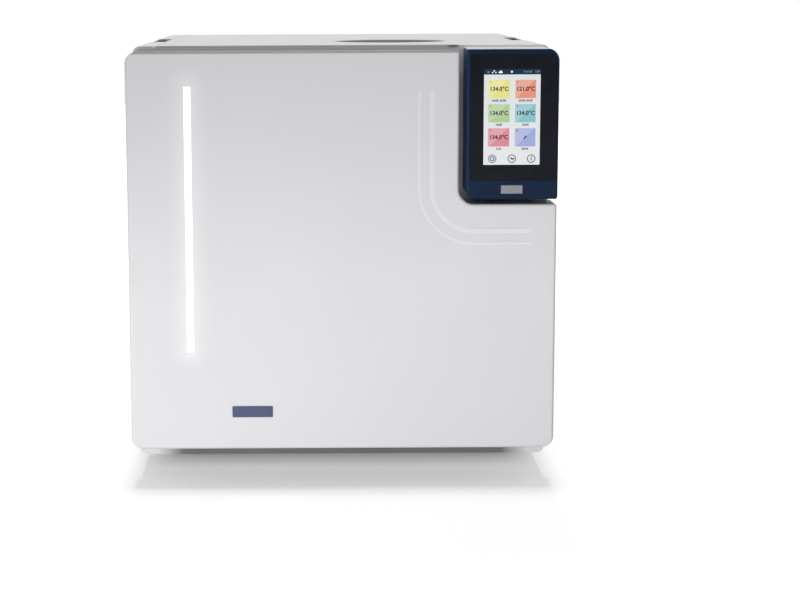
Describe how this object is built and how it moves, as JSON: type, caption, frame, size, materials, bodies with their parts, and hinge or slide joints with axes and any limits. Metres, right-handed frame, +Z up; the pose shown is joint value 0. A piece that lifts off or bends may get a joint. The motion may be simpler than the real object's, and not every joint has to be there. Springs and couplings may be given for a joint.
{
  "type": "tabletop steam autoclave",
  "caption": "Tabletop steam steriliser with a side-hinged front door, round chamber with tray rack, touch screen housing in a door notch and water filler on top.",
  "frame": {"origin": "middle of the footprint at floor level", "axes": "+Z up; the door faces -Y; +X is the right-hand side seen from the front"},
  "size_m": [0.48, 0.6, 0.5],
  "materials": {
    "case_white": "satin light grey",
    "door_white": "satin light grey",
    "fascia_grey": "fine matt",
    "liner_grey": "fine matt",
    "navy": "satin",
    "plate_navy": "satin",
    "flap_grey": "satin",
    "black_glass": "polished black glass",
    "strip_light": "lit diffuser",
    "stainless": "brushed",
    "chamber_steel": "polished",
    "zinc_steel": "zinc plated sheet",
    "cast_alloy": "painted casting",
    "aluminium": "anodised",
    "seal_silicone": "silicone",
    "foot_rubber": "matt",
    "black_plastic": "fine matt",
    "insulation_felt": "mineral felt",
    "tank_plastic": "milky",
    "board_green": "solder mask",
    "brass": "machined",
    "copper_tube": "drawn tube",
    "filter_white": "satin"
  },
  "bodies": {
    "case": {"front_frame": "case_white", "fascia": "fascia_grey", "bulkhead": "zinc_steel", "lock_motor": "black_plastic", "chamber": "chamber_steel", "chamber_flange": "chamber_steel", "chamber_gasket": "seal_silicone", "heater_band": "aluminium", "insulation": "insulation_felt", "base_pan": "zinc_steel", "feet": "foot_rubber", "left_side_panel": "case_white", "right_side_panel": "case_white", "top_cover": "case_white", "grip_cups": "fascia_grey", "rear_panel": "zinc_steel", "rear_screws": "stainless", "control_housing": "navy", "touch_glass": "black_glass", "display_module": "black_plastic", "usb_socket": "black_plastic", "tank_shelf": "zinc_steel", "clean_water_tank": "tank_plastic", "used_water_tank": "tank_plastic", "fill_bowl": "fascia_grey", "steam_generator": "stainless", "water_pump": "black_plastic", "vacuum_pump": "cast_alloy", "valve_block": "brass", "power_board": "board_green", "condenser": "aluminium", "safety_valve": "brass", "pipework": "copper_tube", "fan_housing": "black_plastic", "fan_guard": "zinc_steel", "mains_module": "black_plastic", "rear_spigots": "brass", "drain_ports": "brass", "hinge_brackets": "stainless"},
    "door": {"door_panel": "door_white", "light_strip": "strip_light", "name_plate": "plate_navy", "door_bridge": "cast_alloy", "hinge_arms": "stainless", "lock_studs": "stainless", "door_liner": "liner_grey"},
    "pressure_plate": {"door_disc": "chamber_steel", "disc_spindle": "stainless"},
    "lock": {"lock_slider": "stainless"},
    "port_flap": {"usb_flap": "flap_grey"},
    "cap": {"tank_cap": "liner_grey"},
    "rack": {"tray_rack": "stainless"},
    "filter": {"air_filter": "filter_white"},
    "fan": {"fan_rotor": "black_plastic"},
    "switch": {"power_switch": "black_plastic"},
    "tray_1": {"tray_1": "stainless"},
    "tray_2": {"tray_2": "stainless"},
    "tray_3": {"tray_3": "stainless"},
    "tray_4": {"tray_4": "stainless"},
    "tray_5": {"tray_5": "stainless"}
  },
  "joints": [
    {"name": "door_hinge", "type": "hinge", "parent": "case", "child": "door", "pos_m": [-0.229, -0.24, 0.27], "axis": [0, 0, -1], "range_deg": [0, 105]},
    {"name": "plate_float", "type": "slide", "parent": "door", "child": "pressure_plate", "axis": [0, -1, 0], "range_m": [0, 0.0015], "stiffness_N_per_m": 8000, "springref_m": -0.002},
    {"name": "lock_slide", "type": "slide", "parent": "case", "child": "lock", "axis": [0, 0, 1], "range_m": [0, 0.012]},
    {"name": "port_flap_hinge", "type": "hinge", "parent": "case", "child": "port_flap", "pos_m": [0.1887, -0.2984, 0.3456], "axis": [-1, 0, 0], "range_deg": [0, 100]},
    {"name": "cap_lift", "type": "slide", "parent": "case", "child": "cap", "axis": [0, 0, 1], "range_m": [0, 0.06]},
    {"name": "rack_slide", "type": "slide", "parent": "case", "child": "rack", "axis": [0, -1, 0], "range_m": [0, 0.092]},
    {"name": "tray_1_slide", "type": "slide", "parent": "rack", "child": "tray_1", "axis": [0, -1, 0], "range_m": [0, 0.1104]},
    {"name": "tray_2_slide", "type": "slide", "parent": "rack", "child": "tray_2", "axis": [0, -1, 0], "range_m": [0, 0.092]},
    {"name": "tray_3_slide", "type": "slide", "parent": "rack", "child": "tray_3", "axis": [0, -1, 0], "range_m": [0, 0.0737]},
    {"name": "tray_4_slide", "type": "slide", "parent": "rack", "child": "tray_4", "axis": [0, -1, 0], "range_m": [0, 0.0554]},
    {"name": "tray_5_slide", "type": "slide", "parent": "rack", "child": "tray_5", "axis": [0, -1, 0], "range_m": [0, 0.0371]},
    {"name": "filter_turn", "type": "hinge", "parent": "case", "child": "filter", "pos_m": [0.185, -0.22, 0.11], "axis": [0, 1, 0], "range_deg": [0, 90]},
    {"name": "fan_spin", "type": "hinge", "parent": "case", "child": "fan", "pos_m": [0.09, 0.27, 0.3], "axis": [0, 1, 0], "continuous": true},
    {"name": "switch_rock", "type": "hinge", "parent": "case", "child": "switch", "pos_m": [0.114, 0.2865, 0.071], "axis": [1, 0, 0], "range_deg": [0, 14]}
  ],
  "couplings": [
    {"joint": "rack_slide", "follows": "door_hinge", "m_per_rad": 0.05},
    {"joint": "tray_1_slide", "follows": "door_hinge", "m_per_rad": 0.06},
    {"joint": "tray_2_slide", "follows": "door_hinge", "m_per_rad": 0.05},
    {"joint": "tray_3_slide", "follows": "door_hinge", "m_per_rad": 0.04},
    {"joint": "tray_4_slide", "follows": "door_hinge", "m_per_rad": 0.03},
    {"joint": "tray_5_slide", "follows": "door_hinge", "m_per_rad": 0.02}
  ]
}
